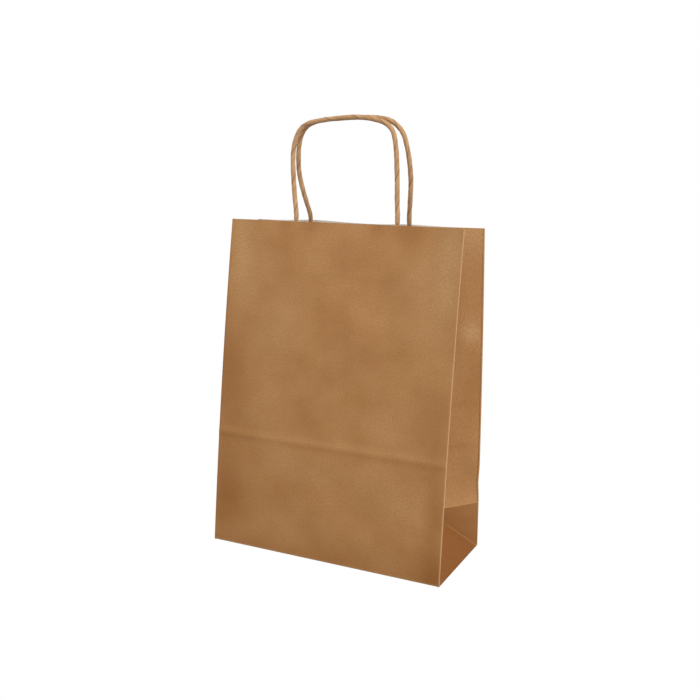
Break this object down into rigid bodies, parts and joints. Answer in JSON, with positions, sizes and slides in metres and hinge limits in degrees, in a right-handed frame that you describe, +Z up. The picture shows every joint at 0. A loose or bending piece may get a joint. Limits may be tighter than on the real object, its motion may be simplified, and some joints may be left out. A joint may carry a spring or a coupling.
{
  "type": "gift bag",
  "caption": "Standing paper gift bag with pleated side gussets, a folded block bottom and twisted paper loop handles glued inside the mouth.",
  "frame": {"origin": "centre of the base, on the surface that the bag stands on", "axes": "+Z up, X across the front panel, -Y out of the front panel; the rear seam is at -X"},
  "size_m": [0.24, 0.1144, 0.4172],
  "materials": {
    "printed_paper": "satin",
    "bare_paper": "matt",
    "twisted_paper": "matt"
  },
  "bodies": {
    "base": {"base_front_flap": "printed_paper", "base_back_flap": "printed_paper", "base_left_tuck": "bare_paper", "base_right_tuck": "bare_paper"},
    "front": {"front_panel": "printed_paper", "front_patch_outer": "bare_paper", "front_patch_inner": "bare_paper", "front_handle_left_leg": "twisted_paper", "front_handle_right_leg": "twisted_paper"},
    "back": {"back_panel": "printed_paper", "back_patch_outer": "bare_paper", "back_patch_inner": "bare_paper", "back_handle_left_leg": "twisted_paper", "back_handle_right_leg": "twisted_paper", "seam_flap": "bare_paper"},
    "left_gusset_front": {"left_gusset_front": "printed_paper"},
    "left_gusset_rear": {"left_gusset_rear": "printed_paper"},
    "left_gusset_foot": {"left_gusset_foot": "printed_paper"},
    "right_gusset_front": {"right_gusset_front": "printed_paper"},
    "right_gusset_rear": {"right_gusset_rear": "printed_paper"},
    "right_gusset_foot": {"right_gusset_foot": "printed_paper"},
    "front_necks": {"front_handle_left_neck": "twisted_paper", "front_handle_right_neck": "twisted_paper"},
    "front_handle": {"front_handle": "twisted_paper"},
    "back_necks": {"back_handle_left_neck": "twisted_paper", "back_handle_right_neck": "twisted_paper"},
    "back_handle": {"back_handle": "twisted_paper"}
  },
  "joints": [
    {"name": "mouth_front", "type": "hinge", "parent": "base", "child": "front", "pos_m": [0, -0.057, 0], "axis": [1, 0, 0], "range_deg": [-0.6, 1.7]},
    {"name": "mouth_back", "type": "hinge", "parent": "base", "child": "back", "pos_m": [0, 0.057, 0], "axis": [-1, 0, 0], "range_deg": [-0.6, 1.7]},
    {"name": "left_gusset_front_fold", "type": "hinge", "parent": "front", "child": "left_gusset_front", "pos_m": [-0.12, -0.057, 0], "axis": [0, 0.0906, 0.9959], "range_deg": [-8, 13]},
    {"name": "left_gusset_rear_fold", "type": "hinge", "parent": "back", "child": "left_gusset_rear", "pos_m": [-0.12, 0.057, 0], "axis": [0, 0.1155, -0.9933], "range_deg": [-8, 13]},
    {"name": "left_foot_fold", "type": "hinge", "parent": "base", "child": "left_gusset_foot", "pos_m": [-0.12, 0, 0], "axis": [0, -1, 0], "range_deg": [-6, 9]},
    {"name": "right_gusset_front_fold", "type": "hinge", "parent": "front", "child": "right_gusset_front", "pos_m": [0.12, -0.057, 0], "axis": [0, -0.0719, -0.9974], "range_deg": [-8, 13]},
    {"name": "right_gusset_rear_fold", "type": "hinge", "parent": "back", "child": "right_gusset_rear", "pos_m": [0.12, 0.057, 0], "axis": [0, -0.097, 0.9953], "range_deg": [-8, 13]},
    {"name": "right_foot_fold", "type": "hinge", "parent": "base", "child": "right_gusset_foot", "pos_m": [0.12, 0, 0], "axis": [0, 1, 0], "range_deg": [-6, 9]},
    {"name": "front_neck_bend", "type": "hinge", "parent": "front", "child": "front_necks", "pos_m": [0, -0.02201, 0.31853], "axis": [1, 0, 0], "range_deg": [-8, 5]},
    {"name": "front_handle_swing", "type": "hinge", "parent": "front_necks", "child": "front_handle", "pos_m": [0, -0.02221, 0.32652], "axis": [1, 0, 0], "range_deg": [0, 95]},
    {"name": "back_neck_bend", "type": "hinge", "parent": "back", "child": "back_necks", "pos_m": [0, 0.00808, 0.31754], "axis": [-1, 0, 0], "range_deg": [-8, 5]},
    {"name": "back_handle_swing", "type": "hinge", "parent": "back_necks", "child": "back_handle", "pos_m": [0, 0.00596, 0.32525], "axis": [-1, 0, 0], "range_deg": [0, 95]}
  ],
  "couplings": [
    {"joint": "mouth_back", "follows": "mouth_front", "ratio": 1},
    {"joint": "left_gusset_front_fold", "follows": "mouth_front", "ratio": 7},
    {"joint": "left_gusset_rear_fold", "follows": "mouth_front", "ratio": 7},
    {"joint": "left_foot_fold", "follows": "mouth_front", "ratio": 2.4},
    {"joint": "right_gusset_front_fold", "follows": "mouth_front", "ratio": 7.4},
    {"joint": "right_gusset_rear_fold", "follows": "mouth_front", "ratio": 7.4},
    {"joint": "right_foot_fold", "follows": "mouth_front", "ratio": 2.4},
    {"joint": "front_neck_bend", "follows": "mouth_front", "ratio": -4.28},
    {"joint": "back_neck_bend", "follows": "mouth_front", "ratio": -4.28}
  ]
}
